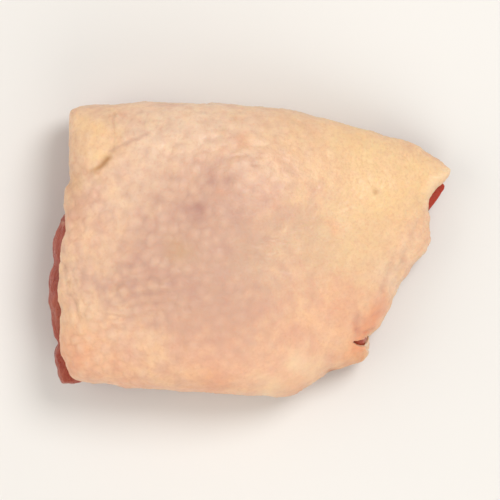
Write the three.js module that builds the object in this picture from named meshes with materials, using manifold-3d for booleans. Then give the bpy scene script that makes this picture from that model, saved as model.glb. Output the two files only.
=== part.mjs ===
// A raw chicken thigh, lying skin side up: a lump of dark meat under a loose sheet of skin.
// Millimetres, +Z up. The origin is on the surface that the thigh lies on, under the middle of its box.
// +X points to the thin pointed end, and -X to the cut end, where the meat shows past the skin.
import * as THREE from "three";
import { mergeVertices } from "three/addons/utils/BufferGeometryUtils.js";
import Module from "manifold-3d";

const { clamp, lerp, smoothstep, degToRad } = THREE.MathUtils;

// Driving dimensions
const TOP_HEIGHT = 34; // the crown of the skin above the surface
const THIN_END_DROP = 15; // how much lower the skin lies at the pointed end
const THIN_END_SLOPE = [-16, 62]; // from where to where along X it slopes down there
const CUT_END_DROP = 2.5; // how much lower it lies at the cut end
const CUT_END_SLOPE = [22, 52]; // from where to where along -X
const SKIN_THICKNESS = 2;
const SKIN_GAP = 0.5; // between the skin and the meat under it
const PAST_THE_HEM = 1.02; // the ring to which the meat follows the skin, where the skin ends at 1

// The outline of the skin from above, clockwise from the corner at the cut end and the far side.
const CORNER_CUT_FAR = 0;
const CORNER_TIP = 6;
const CORNER_THIN_NEAR = 11;
const CORNER_CUT_NEAR = 16;
const OUTLINE = [
  [-47.4, 36.8], [-36, 39], [-10, 39.4], [15, 36.6], [36, 31.2], [46, 27.2],
  [53.8, 21.4], [48.9, 14.2], [48.9, 5.2], [43.6, -5.6],
  [36.8, -16.6], [32.4, -28.6], [22.6, -33], [9.4, -39.2],
  [-15, -37.9], [-34, -36.2], [-48, -34.4],
  [-50.2, -22], [-51.8, -8], [-48.4, 16], [-48.9, 27],
];
const MIDDLE = [-2, 0]; // the point that the rings of the skin close on

// Eight stations round the edge, clockwise: the far corner of the cut end, the far side, the tip,
// the thin end, its near corner, the near side, the near corner of the cut end, and the cut end.
const HEM_TURN = [104, 130, 100, 104, 112, 132, 86, 77]; // degrees from straight up to the skin's edge
const WIDEST_HEIGHT = [13, 11.5, 7.5, 7, 8, 11, 13, 17]; // height at which the side stands out furthest
const TUCK_HEIGHT = [3, 1, 1, 1, 1, 1, 6, 7]; // height that the tucked skin turns towards
const SIDE_SQUARENESS = [0.62, 0.6, 0.86, 0.8, 0.74, 0.6, 0.6, 0.62]; // 1 is round, less is boxier
const MEAT_BARE = [0.1, 0, 0, 0.1, 0, 0, 0.9, 0.88]; // 1 where the meat swells out past the skin's edge
const BARE_FROM = [2.84, 3]; // round the edge, where that begins just before the cut end's near corner
const RING_GROWTH = 1.35; // spaces the rings of the skin evenly from the crown to the hem

// Wrinkles that run down the sides: how many there are all round, how deep, and where they start.
const PUCKERS = [
  { count: 9, depth: 0.55, start: 0.4 },
  { count: 14, depth: 0.4, start: 1.9 },
  { count: 23, depth: 0.28, start: 0.8 },
];
const PUCKERS_FROM = 0.62; // the ring at which the wrinkles begin

// Soft swellings of the muscles and fat under the skin: place, reach and height.
const SWELLINGS = [
  { x: -24, y: -10, reach: 17, height: 1.3 },
  { x: 4, y: 12, reach: 15, height: 0.9 },
  { x: -41.5, y: 27.5, reach: 7.5, height: 2 },
  { x: 22, y: -14, reach: 12, height: 0.9 },
  { x: 38, y: 16, reach: 9, height: 1.1 },
  { x: -4, y: -27, reach: 11, height: -0.7 },
  { x: 18, y: 4, reach: 9, height: -0.6 },
];

// The crease that sets off the swelling at the far corner of the cut end.
const CREASE = [[-35, 35], [-35.6, 27.5], [-38.6, 22], [-47, 18.6]];
const CREASE_WIDTH = 2.4;
const CREASE_DEPTH = 1.5;

// The tear in the skin's edge near the thin end's near corner, from above: its tip, then its mouth.
const TEAR = [[27.6, -24.6], [37, -26.8], [38.2, -24.2]];

// Near the tip the meat stops short of the skin, and beside it shows past the skin as a sliver.
// Places round the edge are in sides, counted clockwise from the outline's first corner.
const EMPTY_TIP = 0.06; // how far short it stops, as a share of the outline
const EMPTY_TIP_WIDTH = 0.12;
const SLIVER_AT = 1.14;
const SLIVER_WIDTH = 0.1;
const SLIVER_DRAW = 0.36; // how much further out the meat's foot is drawn, as a share of the outline
const SLIVER_DROP = 2; // how much lower, to keep clear of the skin

// The underside of the meat: a flat patch that it lies on, and furrows between the muscles.
const BASE_REACH = 0.86; // the furthest that the underside reaches, as a share of the outline
const INSIDE_HEM = 0.07; // how far inside the skin's edge it stays where the skin is tucked under
const RIM_LIFT = 3.6; // how far the rim of the underside rounds up
const RIM_RINGS = [0.72, 1]; // the rings between which it does
const FURROWS = [
  { chain: [[-46, 8], [-20, 3], [8, 5], [36, 14]], width: 4.6, depth: 3.6 },
  { chain: [[-30, -32], [-19, -16], [-12, 3]], width: 3.8, depth: 2.6 },
  { chain: [[10, 5], [17, -10], [30, -20]], width: 3.8, depth: 2.4 },
  { chain: [[-10, 34], [0, 22], [22, 20]], width: 3.4, depth: 2 },
];
const SWELL_REACH = 1.14; // what the swelling of the cut end is drawn towards, as a share of the outline
const SWELL_LEVELS = [0.86, 0.3]; // its shoulder and its foot, as shares of the height of the skin's edge
const FLAT_LEVEL = 1.1; // relief below this is pressed flat by the weight of the meat

// How finely the solids are divided
const SKIN_CELLS = [40, 36, 1];
const MEAT_CELLS = [40, 36, 5];
const OUTLINE_STEPS = 40; // lengths measured between two points of the outline
const RING_STEP = 0.004; // to either side of a ring, for the slope of the skin there
const ON_A_SIDE = 1 - 1e-6; // at least this far out is on a face of the box from -1 to 1

// A value between the eight stations, eased from each to the next.
function around(q, values) {
  const place = (((q % 4) + 4) % 4) * 2;
  const i = Math.floor(place);
  return lerp(values[i], values[(i + 1) % 8], smoothstep(place - i, 0, 1));
}

// Distance from a point to a chain of straight pieces.
function distanceTo(chain, x, y) {
  let best = Infinity;
  for (let i = 1; i < chain.length; i++) {
    const [ax, ay] = chain[i - 1];
    const [dx, dy] = [chain[i][0] - ax, chain[i][1] - ay];
    const along = clamp(((x - ax) * dx + (y - ay) * dy) / (dx * dx + dy * dy), 0, 1);
    best = Math.min(best, Math.hypot(x - ax - along * dx, y - ay - along * dy));
  }
  return best;
}

const bell = (distance, reach) => Math.exp(-((distance / reach) ** 2));

const outline = new THREE.CatmullRomCurve3(
  OUTLINE.map(([x, y]) => new THREE.Vector3(x, y, 0)), true, "centripetal");
outline.arcLengthDivisions = OUTLINE.length * OUTLINE_STEPS;

// Where a point of the outline's list lies along the curve, from 0 to 1.
function shareAt(index) {
  const lengths = outline.getLengths();
  return lengths[index * OUTLINE_STEPS] / lengths[lengths.length - 1];
}
const CORNERS = [
  shareAt(CORNER_CUT_FAR), shareAt(CORNER_TIP), shareAt(CORNER_THIN_NEAR),
  shareAt(CORNER_CUT_NEAR), 1 + shareAt(CORNER_CUT_FAR),
];

// The edge of the skin from above, q sides clockwise from the outline's first corner.
// The meat's edge stops short of the skin's tip.
function edgePoint(q, ofMeat = false) {
  const side = Math.min(3, Math.floor(q));
  const share = lerp(CORNERS[side], CORNERS[side + 1], q - side) % 1;
  const point = outline.getPointAt(share);
  const reach = ofMeat ? 1 - EMPTY_TIP * bell(q - 1, EMPTY_TIP_WIDTH) : 1;
  return [
    MIDDLE[0] + (point.x - MIDDLE[0]) * reach,
    MIDDLE[1] + (point.y - MIDDLE[1]) * reach,
  ];
}

// Turns a place on the square from -1 to 1 into a ring from 0 to 1 and a place round the edge.
function ringOf(u, v) {
  const ring = Math.max(Math.abs(u), Math.abs(v));
  if (ring === 0) return [0, 0];
  const [a, b] = [u / ring, v / ring];
  if (b >= ON_A_SIDE) return [ring, (a + 1) / 2];
  if (a >= ON_A_SIDE) return [ring, 1 + (1 - b) / 2];
  if (b <= -ON_A_SIDE) return [ring, 2 + (1 - a) / 2];
  return [ring, 3 + (b + 1) / 2];
}

// Height of the skin over a point of the plan, before the sides turn down.
function crown(x, y) {
  let height = TOP_HEIGHT;
  height -= THIN_END_DROP * smoothstep(x, ...THIN_END_SLOPE);
  height -= CUT_END_DROP * smoothstep(-x, ...CUT_END_SLOPE);
  for (const s of SWELLINGS) height += s.height * bell(Math.hypot(x - s.x, y - s.y), s.reach);
  return height - CREASE_DEPTH * bell(distanceTo(CREASE, x, y), CREASE_WIDTH);
}

// A point of the skin's outer face, as its distance from the middle line and its height.
function profile(q, ring, ofMeat) {
  const edge = edgePoint(q, ofMeat);
  const turn = degToRad(around(q, HEM_TURN)) * ring ** RING_GROWTH;
  const square = around(q, SIDE_SQUARENESS);
  let reach = Math.sin(turn) ** square;
  const pucker = PUCKERS.reduce(
    (sum, p) => sum + p.depth * Math.sin((p.count * q * Math.PI) / 2 + p.start), 0);
  const full = Math.hypot(edge[0] - MIDDLE[0], edge[1] - MIDDLE[1]);
  reach += (pucker / full) * smoothstep(ring, PUCKERS_FROM, 1);
  const [x, y] = [0, 1].map((k) => MIDDLE[k] + reach * (edge[k] - MIDDLE[k]));
  const widest = around(q, WIDEST_HEIGHT);
  const fall = Math.cos(turn);
  const height = fall >= 0
    ? widest + (crown(x, y) - widest) * fall ** square
    : widest - (widest - around(q, TUCK_HEIGHT)) * Math.abs(fall) ** square;
  return [reach * full, height, full];
}

// A point a given depth under the skin's outer face.
function skinPoint(q, ring, depth, ofMeat = false) {
  const edge = edgePoint(q, ofMeat);
  const [r, z, full] = profile(q, ring, ofMeat);
  const [r0, z0] = profile(q, Math.max(0, ring - RING_STEP), ofMeat);
  const [r1, z1] = profile(q, ring + RING_STEP, ofMeat);
  const length = Math.hypot(r1 - r0, z1 - z0) || 1;
  const [outward, upward] = ring < RING_STEP ? [0, 1] : [(z0 - z1) / length, (r1 - r0) / length];
  const share = (r - depth * outward) / full;
  return [
    MIDDLE[0] + share * (edge[0] - MIDDLE[0]),
    MIDDLE[1] + share * (edge[1] - MIDDLE[1]),
    z - depth * upward,
  ];
}

// A point of the meat where the skin covers it, and a little past the skin's edge.
const underSkin = (q, ring) =>
  skinPoint(q, ring * PAST_THE_HEM, SKIN_THICKNESS + SKIN_GAP, true);

// How far out the underside reaches: past the skin's edge at the cut end, inside it elsewhere.
function baseReach(q) {
  const [r, , full] = profile(q, 1, true);
  return Math.min(BASE_REACH, r / full - INSIDE_HEM);
}

// A point of the underside, which lies flat but for its rounded rim and its furrows.
function underside(q, ring) {
  const edge = edgePoint(q, true);
  const reach = baseReach(q) * ring;
  const [x, y] = [0, 1].map((k) => MIDDLE[k] + reach * (edge[k] - MIDDLE[k]));
  let relief = RIM_LIFT * smoothstep(ring, ...RIM_RINGS);
  for (const f of FURROWS) relief += f.depth * bell(distanceTo(f.chain, x, y), f.width);
  return [x, y, Math.max(0, relief - FLAT_LEVEL)];
}

// How far the meat swells past the skin's edge, from 0 to 1.
function bareMeat(q) {
  const nearCorner = q < 2 ? 1 : smoothstep(q, ...BARE_FROM);
  return around(q, MEAT_BARE) * nearCorner;
}

// The side of the meat below the skin's edge: it swells out, then turns in to the underside.
function meatSide(q, down) {
  const start = underSkin(q, 1);
  const edge = edgePoint(q, true);
  const base = underside(q, 1);
  const bare = bareMeat(q) ** 2;
  const reach = lerp(baseReach(q) + INSIDE_HEM / 2, SWELL_REACH, bare);
  const sliver = bell(q - SLIVER_AT, SLIVER_WIDTH);
  const [shoulder, foot] = [reach, reach + SLIVER_DRAW * sliver].map((out, i) => [
    MIDDLE[0] + out * (edge[0] - MIDDLE[0]),
    MIDDLE[1] + out * (edge[1] - MIDDLE[1]),
    lerp((start[2] + base[2]) / 2, start[2] * SWELL_LEVELS[i], bare) - SLIVER_DROP * sliver,
  ]);
  const points = [start, shoulder, foot, base];
  const side = new THREE.CubicBezierCurve3(...points.map((p) => new THREE.Vector3(...p)));
  return side.getPoint(down).toArray();
}

// Splits each four-sided cell of a box along the diagonal that stands out further, so that a ridge
// stays a clean line. The index holds two triangles for a cell: a, b, d and b, c, d.
function splitAlongRidges(box) {
  const position = box.getAttribute("position");
  const heart = new THREE.Vector3(...MIDDLE, TOP_HEIGHT / 3);
  const point = (i) => new THREE.Vector3().fromBufferAttribute(position, i);
  const stands = (i, k) => point(i).add(point(k)).divideScalar(2).distanceTo(heart);
  const index = box.getIndex().array;
  for (let i = 0; i < index.length; i += 6) {
    const [a, b, d, c] = [index[i], index[i + 1], index[i + 2], index[i + 4]];
    if (stands(a, c) > stands(b, d)) index.set([a, b, c, a, c, d], i);
  }
}

// Moves the points of a box that spans -1 to 1 to where a function puts them, and closes its seams.
function shaped(box, place) {
  const position = box.getAttribute("position");
  for (let i = 0; i < position.count; i++)
    position.setXYZ(i, ...place(position.getX(i), position.getY(i), position.getZ(i)));
  splitAlongRidges(box);
  box.deleteAttribute("normal");
  box.deleteAttribute("uv");
  const closed = mergeVertices(box, 1e-4);
  closed.computeVertexNormals();
  return closed;
}

// What the tear takes out of the skin: a wedge as high as the thigh.
function tearGeometry() {
  const plan = new THREE.Shape(TEAR.map(([x, y]) => new THREE.Vector2(x, y)));
  return new THREE.ExtrudeGeometry(plan, { depth: TOP_HEIGHT, bevelEnabled: false });
}

const wasm = await Module();
wasm.setup();

function solidOf(geometry) {
  const bare = new THREE.BufferGeometry();
  bare.setAttribute("position", geometry.getAttribute("position"));
  bare.setIndex(geometry.getIndex());
  const merged = mergeVertices(bare, 1e-4);
  return new wasm.Manifold(new wasm.Mesh({
    numProp: 3,
    vertProperties: merged.getAttribute("position").array,
    triVerts: new Uint32Array(merged.getIndex().array),
  }));
}

function cutAway(geometry, tool) {
  const mesh = solidOf(geometry).subtract(solidOf(tool)).getMesh();
  const cut = new THREE.BufferGeometry();
  cut.setAttribute("position", new THREE.BufferAttribute(mesh.vertProperties, 3));
  cut.setIndex(new THREE.BufferAttribute(mesh.triVerts, 1));
  cut.computeVertexNormals();
  return cut;
}

function skinGeometry() {
  const slab = new THREE.BoxGeometry(2, 2, 2, ...SKIN_CELLS);
  const whole = shaped(slab, (u, v, w) => {
    const [ring, q] = ringOf(u, v);
    return skinPoint(q, ring, (SKIN_THICKNESS * (1 - w)) / 2);
  });
  return cutAway(whole, tearGeometry());
}

function meatGeometry() {
  const block = new THREE.BoxGeometry(2, 2, 2, ...MEAT_CELLS);
  return shaped(block, (u, v, w) => {
    const [ring, q] = ringOf(u, v);
    if (w >= ON_A_SIDE) return underSkin(q, ring);
    if (w <= -ON_A_SIDE) return underside(q, ring);
    return meatSide(q, (1 - w) / 2);
  });
}

const skinMaterial = new THREE.MeshStandardMaterial({
  name: "skin", color: new THREE.Color().setRGB(0.93, 0.76, 0.61, THREE.SRGBColorSpace),
  roughness: 0.42, metalness: 0,
});
const meatMaterial = new THREE.MeshStandardMaterial({
  name: "meat", color: new THREE.Color().setRGB(0.69, 0.38, 0.33, THREE.SRGBColorSpace),
  roughness: 0.35, metalness: 0,
});

const skin = new THREE.Mesh(skinGeometry(), skinMaterial);
skin.name = "skin";
const meat = new THREE.Mesh(meatGeometry(), meatMaterial);
meat.name = "meat";

const thigh = new THREE.Group();
thigh.add(skin, meat);

export default thigh;
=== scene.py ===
import bmesh
import bpy
import numpy as np
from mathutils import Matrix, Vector, noise


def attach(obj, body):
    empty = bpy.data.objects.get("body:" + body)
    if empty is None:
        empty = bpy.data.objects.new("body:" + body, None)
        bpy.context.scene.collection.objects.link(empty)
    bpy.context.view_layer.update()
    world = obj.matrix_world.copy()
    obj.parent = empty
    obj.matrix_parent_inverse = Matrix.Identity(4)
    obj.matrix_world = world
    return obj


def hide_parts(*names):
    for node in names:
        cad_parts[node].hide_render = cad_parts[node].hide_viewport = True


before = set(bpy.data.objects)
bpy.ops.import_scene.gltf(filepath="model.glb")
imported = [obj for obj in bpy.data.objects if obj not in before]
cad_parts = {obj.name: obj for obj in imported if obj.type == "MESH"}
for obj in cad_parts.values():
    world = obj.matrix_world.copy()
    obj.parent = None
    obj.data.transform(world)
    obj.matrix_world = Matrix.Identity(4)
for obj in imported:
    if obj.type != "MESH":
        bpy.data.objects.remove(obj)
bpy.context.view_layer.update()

# The skin
# One loose sheet of raw skin, about 2 mm thick with the pale fat that lines it. It lies over the meat,
# turns down at the sides and in under them, and ends in a raw edge, which stays up on the meat at the
# cut end.

MM = 0.001  # shapes are worked out in millimetres, and this turns them into the scene's metres

TOP_HEIGHT = 34
THIN_END_DROP = 15  # how much lower the skin lies at the thin end
THIN_END_SLOPE = (-16, 62)  # from where to where along X it slopes down there
CUT_END_DROP = 2.5
CUT_END_SLOPE = (22, 52)  # from where to where along -X
SKIN_THICKNESS = 1.8
FLOOR_GAP = 0.3  # the least height of the skin above the floor
MIDDLE = np.array((-2, 0))  # the point that the rings of the skin close on
RING_STEP = 0.004  # to either side of a ring, for the skin's slope there
LAID_STEPS = 17  # places from the middle outwards where the skin's length is measured

# The outline of the skin from above, clockwise from the corner at the cut end and the far side.
OUTLINE = (
    (-47.4, 36.8), (-36, 39), (-10, 39.4), (15, 36.6), (36, 31.2), (46, 27.2),
    (53.8, 21.4), (48.9, 14.2), (48.9, 5.2), (43.6, -5.6),
    (36.8, -16.6), (32.4, -28.6), (22.6, -33), (9.4, -39.2),
    (-15, -37.9), (-34, -36.2), (-48, -34.4),
    (-50.2, -22), (-51.8, -8), (-48.4, 16), (-48.9, 27),
)
CORNER_POINTS = (0, 6, 11, 16)  # which of them are the sheet's four corners
CURVE_STEPS = 40  # short pieces between each two of them
CORNER_ROUNDING = np.linspace(-0.24, 0.24, 9)  # turns to either side that a rounded corner averages
CORNERS_FADE = (0.35, 0.9)  # the rings over which the corners grow sharp

# Eight stations round the edge, clockwise: the far corner of the cut end, the far side, the tip,
# the thin end, its near corner, the near side, the near corner of the cut end, and the cut end.
HEM_TURN = (104, 130, 100, 104, 112, 132, 86, 77)  # degrees from straight up to the skin's edge
WIDEST_HEIGHT = (13, 11.5, 7.5, 7, 8, 11, 13, 17)  # where the sides stand out most
TUCK_HEIGHT = (3, 1, 1, 1, 1, 1, 6, 7)  # what they turn in towards below that
SIDE_SQUARENESS = (0.62, 0.6, 0.86, 0.8, 0.74, 0.6, 0.6, 0.62)  # 1 is round, and less is squarer
RING_GROWTH = 1.35  # above 1, so that the skin turns down late

# Wrinkles down the sides: how many there are all round, how deep, and where they start.
PUCKERS = ((9, 0.55, 0.4), (14, 0.4, 1.9), (23, 0.28, 0.8), (41, 0.14, 2.2), (67, 0.09, 1.1))
PUCKERS_FROM = 0.62  # the ring at which they begin
# Small nicks in the skin's edge: place round the edge, width there, and depth.
NICKS = ((2.14, 0.02, 1.2), (2.24, 0.03, 0.8), (1.93, 0.015, 0.6), (1.62, 0.02, 0.5))
# Waves that make the edge ragged: how many there are all round, and where they start.
RAGS = ((13, 0.3), (29, 2.1), (53, 4.4), (97, 1.2))
RAG_REACH = 0.03  # this and the next two are in rings, of which the skin's edge is ring 1
RIM_BULGE = 0.014
FAT_LEDGE = 0.022  # how far the fat that lines the skin shows past its edge

# Soft swellings of the muscles and fat under the skin: place, reach and height.
SWELLINGS = (
    (-24, -10, 17, 1.3), (4, 12, 15, 0.9), (-41.5, 27.5, 7.5, 2), (22, -14, 12, 0.9),
    (38, 16, 9, 1.1), (-4, -27, 11, -0.7), (18, 4, 9, -0.6),
)
# The crease that sets off the swollen lobe at the far corner of the cut end.
LOBE_CREASE = ((-36.2, 37), (-36.2, 29), (-37.4, 24.8), (-40.6, 20.8), (-45, 19), (-49, 18))
LOBE_CREASE_WIDTH = 2.6
LOBE_DEPTH = 0.9
LOBE_FOLD = LOBE_CREASE[2:4]  # the part of it that folds in most
# Single creases seen from above: their points, width and depth.
CREASES = (
    (((-49.6, -4.5), (-47.2, -12), (-45, -18.5)), 0.7, 0.45),
    (((-47.6, -4), (-45.4, -10.5)), 0.6, 0.3),
    (((-37, -10.4), (-31, -7.8), (-26, -7.4), (-19, -9.2)), 0.6, 0.38),
    (((-35.5, -14), (-29, -11), (-22, -10.6)), 0.5, 0.36),
    (((-32, -15.2), (-24, -13.8), (-16, -15)), 0.6, 0.32),
    (((-37, -17.4), (-31, -18), (-27, -17)), 0.5, 0.26),
    (((-38, -6.4), (-33, -4), (-28, -3.8)), 0.5, 0.26),
    (((-25, -17.8), (-18, -18.4)), 0.5, 0.22),
    (((-40, -12), (-38, -8)), 0.5, 0.2),
    (((-36.2, 36), (-36.4, 30), (-36.2, 26.5)), 0.5, 0.22),
    (((35.2, -10.5), (37.4, -5.5), (38.6, -0.5)), 0.6, 0.32),
    (((37.6, -11), (40.2, -5.5), (42, 0.5)), 0.6, 0.3),
    (((41.6, -3), (43.6, 2.5), (44.4, 8)), 0.6, 0.28),
    (((39.5, 6), (42.5, 11), (44.5, 13.5)), 0.5, 0.25),
    (((28.2, -17.4), (28.5, -20.8), (28, -24)), 0.9, 0.36),
    (((28.4, -21.8), (31, -22.4), (34, -21.4)), 0.7, 0.35),
    (((29, -18.4), (32, -18.8), (35, -17.4)), 0.7, 0.2),
)
CREASE_LIP = 0.15  # the low swelling beside a crease, as a share of its depth
TIP_ROLL = ((53.4, 21.4), (49.6, 19.2), (47.4, 15.6))  # the skin rolls up along this line
VEIN = ((-37, 26), (-32, 28.2), (-27, 30.4))  # it shows through the skin
DARK_NICK = (22, -32.6, 13)  # the deepest nick, with a dark red spot at it: its place and height
SIDES_CREASED = 1.2  # the fine wrinkles are deeper on the sides by this share
SIDES_BELOW = (-22, -10)  # minus the heights between which they deepen
WRINKLE_TURN = np.radians(12)  # how far the long wrinkles turn off the thigh's long way
GATHERED_AT = (-27, -11)  # where the skin is gathered most
GATHERED_REACH = 13

# The tear: where it ends in the skin, and its mouth at the skin's edge.
TEAR = ((27.6, -24.6), (37.6, -25.5))
TEAR_HALF_WIDTH = 2.3  # at the skin's edge
TEAR_PULL = 3.5  # how far to either side the skin is drawn apart
TEAR_LIP = 0.4  # how far its two sides curl up
MOUTH_DRAW = 2.8  # how far the corners at the mouth are drawn back
MOUTH_REACH = 3.6
SHEET_SCALE = 50  # millimetres of skin for one step of the square sheet's 0 to 1
TEAR_SEARCH = np.linspace(-0.86, 0.86, 260)  # places on the square sheet tried for its two ends

FOLLICLE_SPACING = 3.7
FOLLICLE_ROWS = FOLLICLE_SPACING * np.array(((1, 0.15), (0.5, 0.87)))  # steps along a row and to the next
FOLLICLE_SHIFT = 0.27  # how far each strays, as a share of the spacing
FOLLICLE_STRENGTH = (0.25, 1)
FOLLICLE_CELLS = 64  # the strays repeat after this many
FOLLICLE_DRIFT = 0.55  # how far whole groups of them stray
FOLLICLE_REACH = 1.35
FOLLICLE_HEIGHT = 0.3
FURROW_WIDTH = 0.7  # of the fine furrows between them
FURROW_DEPTH = 0.06

SHEET_CELLS = (96, 86)  # of the square sheet that is shaped into the skin
RIM_CUTS = 3  # rows of points between its two faces, all round
FINE_CUTS = 2  # cuts more across each cell of its upper face


def smoothstep(x, low, high):
    t = np.clip((x - low) / (high - low), 0, 1)
    return t * t * (3 - 2 * t)


def bell(distance, reach):
    return np.exp(-((distance / reach) ** 2))


def around(q, values):
    """A value between the eight stations, eased from each to the next."""
    place = np.mod(q, 4) * 2
    station = np.floor(place).astype(int) % 8
    values = np.array(values, float)
    step = values[(station + 1) % 8] - values[station]
    return values[station] + step * smoothstep(place - np.floor(place), 0, 1)


def distance_to(chain, x, y):
    """Distance from each point to a chain of straight pieces."""
    best = np.full(np.shape(x), np.inf)
    for (ax, ay), (bx, by) in zip(chain, chain[1:]):
        dx, dy = bx - ax, by - ay
        along = np.clip(((x - ax) * dx + (y - ay) * dy) / (dx * dx + dy * dy), 0, 1)
        best = np.minimum(best, np.hypot(x - ax - along * dx, y - ay - along * dy))
    return best


def closed_curve(points, steps):
    """A smooth closed curve through the points, a Catmull-Rom one, with steps pieces between each two."""
    p = np.array(points, float)
    before, after, beyond = np.roll(p, 1, 0), np.roll(p, -1, 0), np.roll(p, -2, 0)
    d0, d1, d2 = (np.sqrt(np.linalg.norm(b - a, axis=1))[:, None]
                  for a, b in ((before, p), (p, after), (after, beyond)))
    start = ((p - before) / d0 - (after - before) / (d0 + d1) + (after - p) / d1) * d1
    end = ((after - p) / d1 - (beyond - p) / (d1 + d2) + (beyond - after) / d2) * d1
    t = (np.arange(steps) / steps)[None, :, None]
    start, end, p, after = (a[:, None, :] for a in (start, end, p, after))
    curve = p + start * t + (3 * (after - p) - 2 * start - end) * t**2
    curve = curve + (2 * (p - after) + start + end) * t**3
    curve = curve.reshape(-1, 2)
    return np.vstack((curve, curve[:1]))


edge_curve = closed_curve(OUTLINE, CURVE_STEPS)
edge_share = np.append(0, np.cumsum(np.linalg.norm(np.diff(edge_curve, axis=0), axis=1)))
edge_share /= edge_share[-1]
corner_share = np.append(edge_share[np.array(CORNER_POINTS) * CURVE_STEPS], 1)


def edge_point(q):
    """The edge of the skin from above, q sides clockwise from the outline's first corner."""
    q = np.mod(q, 4)
    side = np.minimum(np.floor(q), 3).astype(int)
    share = corner_share[side] + (corner_share[side + 1] - corner_share[side]) * (q - side)
    return np.stack([np.interp(share, edge_share, edge_curve[:, k]) for k in (0, 1)], -1)


def edge_for(q, ring):
    """The edge that a ring follows: the corners fade out of the rings nearer the middle."""
    rounded = sum(edge_point(q + turn) for turn in CORNER_ROUNDING) / len(CORNER_ROUNDING)
    sharp = smoothstep(ring, *CORNERS_FADE)[:, None]
    return rounded + sharp * (edge_point(q) - rounded)


def ring_and_side(u, v):
    """Turns a place on the square from -1 to 1 into a ring from 0 to 1 and a place round the edge."""
    ring = np.maximum(np.abs(u), np.abs(v))
    inner = np.where(ring > 0, ring, 1)
    a, b = u / inner, v / inner
    on_side = 1 - 1e-6
    q = np.select((b >= on_side, a >= on_side, b <= -on_side),
                  ((a + 1) / 2, 1 + (1 - b) / 2, 2 + (1 - a) / 2), 3 + (b + 1) / 2)
    return ring, np.where(ring > 0, q, 0)


def crown(x, y):
    """Height of the skin over a point of the plan, before the sides turn down."""
    height = TOP_HEIGHT - THIN_END_DROP * smoothstep(x, *THIN_END_SLOPE)
    height = height - CUT_END_DROP * smoothstep(-x, *CUT_END_SLOPE)
    for at_x, at_y, reach, rise in SWELLINGS:
        height = height + rise * bell(np.hypot(x - at_x, y - at_y), reach)
    # The crease round the lobe wanders to either side of its line.
    stray = x + 0.9 * np.sin(0.5 * y + 1), y + 0.7 * np.sin(0.6 * x)
    return height - LOBE_DEPTH * bell(distance_to(LOBE_CREASE, *stray), LOBE_CREASE_WIDTH)


def profile(q, ring, edge):
    """The skin's outer face, as its distance from the middle line and its height."""
    turn = np.radians(around(q, HEM_TURN)) * ring**RING_GROWTH
    square = around(q, SIDE_SQUARENESS)
    full = np.linalg.norm(edge - MIDDLE, axis=-1)
    pucker = sum(depth * np.sin(count * q * np.pi / 2 + start) for count, depth, start in PUCKERS)
    pucker = pucker - sum(depth * bell(q - place, width) for place, width, depth in NICKS)
    reach = np.sin(turn) ** square + pucker / full * smoothstep(ring, PUCKERS_FROM, 1)
    plan = MIDDLE + reach[:, None] * (edge - MIDDLE)
    widest = around(q, WIDEST_HEIGHT)
    fall = np.cos(turn)
    above = widest + (crown(plan[:, 0], plan[:, 1]) - widest) * np.abs(fall) ** square
    below = widest - (widest - around(q, TUCK_HEIGHT)) * np.abs(fall) ** square
    return reach * full, np.where(fall >= 0, above, below), full


def under_face(q, ring, depth, edge):
    """A point a given depth under the skin's outer face."""
    r, z, full = profile(q, ring, edge)
    r0, z0, _ = profile(q, np.maximum(0, ring - RING_STEP), edge)
    r1, z1, _ = profile(q, ring + RING_STEP, edge)
    length = np.maximum(np.hypot(r1 - r0, z1 - z0), 1e-9)
    outward = np.where(ring < RING_STEP, 0, (z0 - z1) / length)
    upward = np.where(ring < RING_STEP, 1, (r1 - r0) / length)
    plan = MIDDLE + ((r - depth * outward) / full)[:, None] * (edge - MIDDLE)
    return np.column_stack((plan, z - depth * upward))


def soft_noise(points, size, seed=0):
    """Smooth noise from -1 to 1 at each point. size is a feature's width, or one for each axis."""
    return np.array([noise.noise(Vector(p)) for p in points / np.array(size) + 31.7 * seed])


def valleys(points, size, seed, width):
    """1 along the narrow lines where smooth noise passes through nought, falling to 0 beside them."""
    return bell(soft_noise(points, size, seed), width)


def laid_flat(q, ring, edge):
    """Where each point would be if the skin were laid out flat round its middle point."""
    length, before = 0, None
    for share in np.linspace(0, 1, LAID_STEPS):
        r, z, full = profile(q, ring * share, edge)
        if before:
            length = length + np.hypot(r - before[0], z - before[1])
        before = (r, z)
    return MIDDLE + (edge - MIDDLE) * (length / full)[:, None]


def feather_follicles(flat):
    """Heights of the bumps where feathers grew, in uneven slanting rows, and of the furrows between."""
    chance = np.random.default_rng(7)
    shift = chance.uniform(-FOLLICLE_SHIFT, FOLLICLE_SHIFT, (FOLLICLE_CELLS, FOLLICLE_CELLS, 2))
    strength = chance.uniform(*FOLLICLE_STRENGTH, (FOLLICLE_CELLS, FOLLICLE_CELLS))
    sheet = np.column_stack((flat, np.zeros(len(flat))))
    flat = flat + FOLLICLE_DRIFT * np.column_stack([soft_noise(sheet, 2.2, seed) for seed in (37, 38)])
    nearest = np.round(flat @ np.linalg.inv(FOLLICLE_ROWS)).astype(int)
    height = np.zeros(len(flat))
    first = second = np.full(len(flat), np.inf)
    for step in np.ndindex(3, 3):
        cell = nearest + np.array(step) - 1
        i, j = cell.T % FOLLICLE_CELLS
        centre = (cell + shift[i, j]) @ FOLLICLE_ROWS
        away = np.linalg.norm(flat - centre, axis=1)
        height = np.maximum(height, strength[i, j] * bell(away, FOLLICLE_REACH))
        second = np.minimum(second, np.maximum(first, away))
        first = np.minimum(first, away)
    broken = smoothstep(soft_noise(sheet, 4.5, 39), -0.25, 0.3)
    return height, broken * bell(second - first, FURROW_WIDTH)


tear_end, tear_mouth = np.array(TEAR)
tear_length = np.linalg.norm(tear_mouth - tear_end)
tear_way = (tear_mouth - tear_end) / tear_length
tear_across = np.array((-tear_way[1], tear_way[0]))


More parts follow.
